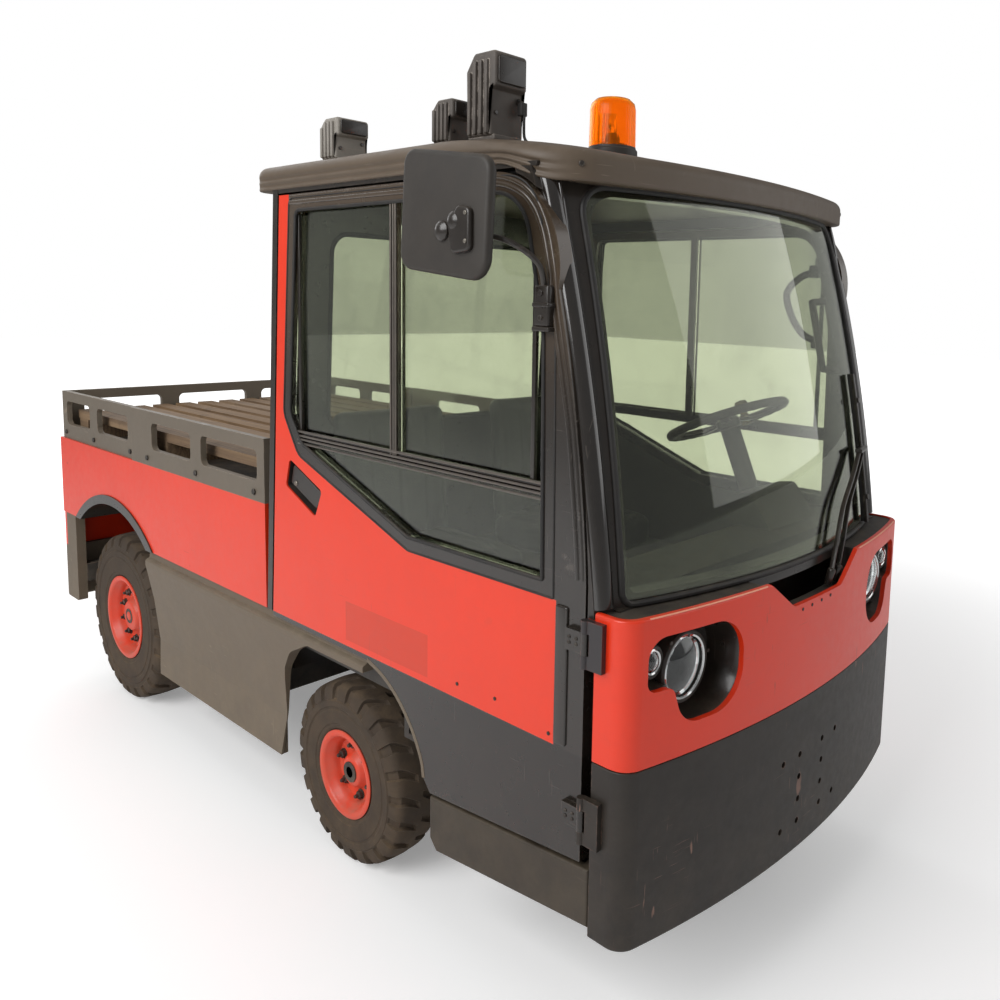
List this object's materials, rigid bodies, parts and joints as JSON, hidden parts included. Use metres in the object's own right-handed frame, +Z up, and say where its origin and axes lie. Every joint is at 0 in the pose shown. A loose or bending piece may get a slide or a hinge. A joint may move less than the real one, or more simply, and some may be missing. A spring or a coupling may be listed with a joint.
{
  "type": "electric tow tractor",
  "caption": "Compact cab tow tractor with bowed nose, curved windscreen, hinged doors, steered front wheels and a railed load bed with a timber deck.",
  "frame": {"origin": "on the ground under the middle of the overall box", "axes": "+Z up, front faces -Y, +X is the vehicle's left"},
  "size_m": [1.6, 3.33, 2.2343],
  "materials": {
    "red_paint": "semi-gloss, scuffed",
    "grey_trim": "matt warm grey",
    "black_paint": "satin black",
    "frame_paint": "matt dark primer",
    "bare_steel": "worn steel",
    "timber": "raw weathered timber",
    "tyre": "solid rubber, dusty",
    "glass": "clear safety glass",
    "lamp": "clear lamp lens",
    "red_lens": "red lens",
    "amber": "amber dome",
    "seat": "black vinyl",
    "plastic": "moulded black plastic",
    "battery": "battery tray"
  },
  "bodies": {
    "vehicle": {"battery_block": "battery", "beacon": "amber", "cab_floor": "black_paint", "cab_frame": "black_paint", "cab_rear_wall": "black_paint", "chassis_frame": "frame_paint", "cowl": "black_paint", "dashboard": "plastic", "deck_rails": "grey_trim", "deck_slats": "timber", "driver_seat": "seat", "front_axle": "frame_paint", "front_bumper": "black_paint", "front_sills": "grey_trim", "headlamps": "lamp", "load_deck": "frame_paint", "nose_panel": "red_paint", "passenger_seat": "seat", "pedals": "bare_steel", "rear_axle": "frame_paint", "rear_bumper": "black_paint", "rear_fenders": "grey_trim", "rear_panel": "red_paint", "rear_sills": "grey_trim", "rear_window": "glass", "roof": "grey_trim", "seat_base": "grey_trim", "side_panels": "red_paint", "steering_column": "plastic", "tail_lamps": "red_lens", "tow_coupling": "bare_steel", "windscreen": "glass", "wiper": "plastic", "work_lamps": "plastic"},
    "door_right": {"door_panel_right": "red_paint", "door_frame_right": "black_paint", "door_glass_right": "glass", "door_handle_right": "plastic", "mirror_right": "plastic"},
    "steer_arm_right": {"knuckle_right": "frame_paint"},
    "front_wheel_right": {"front_tyre_right": "tyre", "front_rim_right": "red_paint"},
    "rear_wheel_right": {"rear_tyre_right": "tyre", "rear_rim_right": "red_paint"},
    "door_left": {"door_panel_left": "red_paint", "door_frame_left": "black_paint", "door_glass_left": "glass", "door_handle_left": "plastic", "mirror_left": "plastic"},
    "steer_arm_left": {"knuckle_left": "frame_paint"},
    "front_wheel_left": {"front_tyre_left": "tyre", "front_rim_left": "red_paint"},
    "rear_wheel_left": {"rear_tyre_left": "tyre", "rear_rim_left": "red_paint"},
    "hand_wheel": {"steering_wheel": "plastic"}
  },
  "joints": [
    {"name": "door_right_hinge", "type": "hinge", "parent": "vehicle", "child": "door_right", "pos_m": [-0.661, -1.475, 0.768], "axis": [0, 0, 1], "range_deg": [0, 80]},
    {"name": "steer_right", "type": "hinge", "parent": "vehicle", "child": "steer_arm_right", "pos_m": [-0.425, -0.485, 0.27], "axis": [0, 0, 1], "range_deg": [-35, 35]},
    {"name": "front_wheel_right_spin", "type": "hinge", "parent": "steer_arm_right", "child": "front_wheel_right", "pos_m": [-0.525, -0.485, 0.27], "axis": [1, 0, 0], "continuous": true},
    {"name": "rear_wheel_right_spin", "type": "hinge", "parent": "vehicle", "child": "rear_wheel_right", "pos_m": [-0.511, 1.105, 0.338], "axis": [1, 0, 0], "continuous": true},
    {"name": "door_left_hinge", "type": "hinge", "parent": "vehicle", "child": "door_left", "pos_m": [0.661, -1.475, 0.768], "axis": [0, 0, -1], "range_deg": [0, 80]},
    {"name": "steer_left", "type": "hinge", "parent": "vehicle", "child": "steer_arm_left", "pos_m": [0.425, -0.485, 0.27], "axis": [0, 0, 1], "range_deg": [-35, 35]},
    {"name": "front_wheel_left_spin", "type": "hinge", "parent": "steer_arm_left", "child": "front_wheel_left", "pos_m": [0.525, -0.485, 0.27], "axis": [1, 0, 0], "continuous": true},
    {"name": "rear_wheel_left_spin", "type": "hinge", "parent": "vehicle", "child": "rear_wheel_left", "pos_m": [0.511, 1.105, 0.338], "axis": [1, 0, 0], "continuous": true},
    {"name": "hand_wheel_turn", "type": "hinge", "parent": "vehicle", "child": "hand_wheel", "pos_m": [0.33, -1.153, 1.315], "axis": [0, 0.4016, 0.9158], "range_deg": [-425, 425]}
  ],
  "couplings": [
    {"joint": "steer_left", "follows": "steer_right", "ratio": 1},
    {"joint": "hand_wheel_turn", "follows": "steer_right", "ratio": 12}
  ]
}
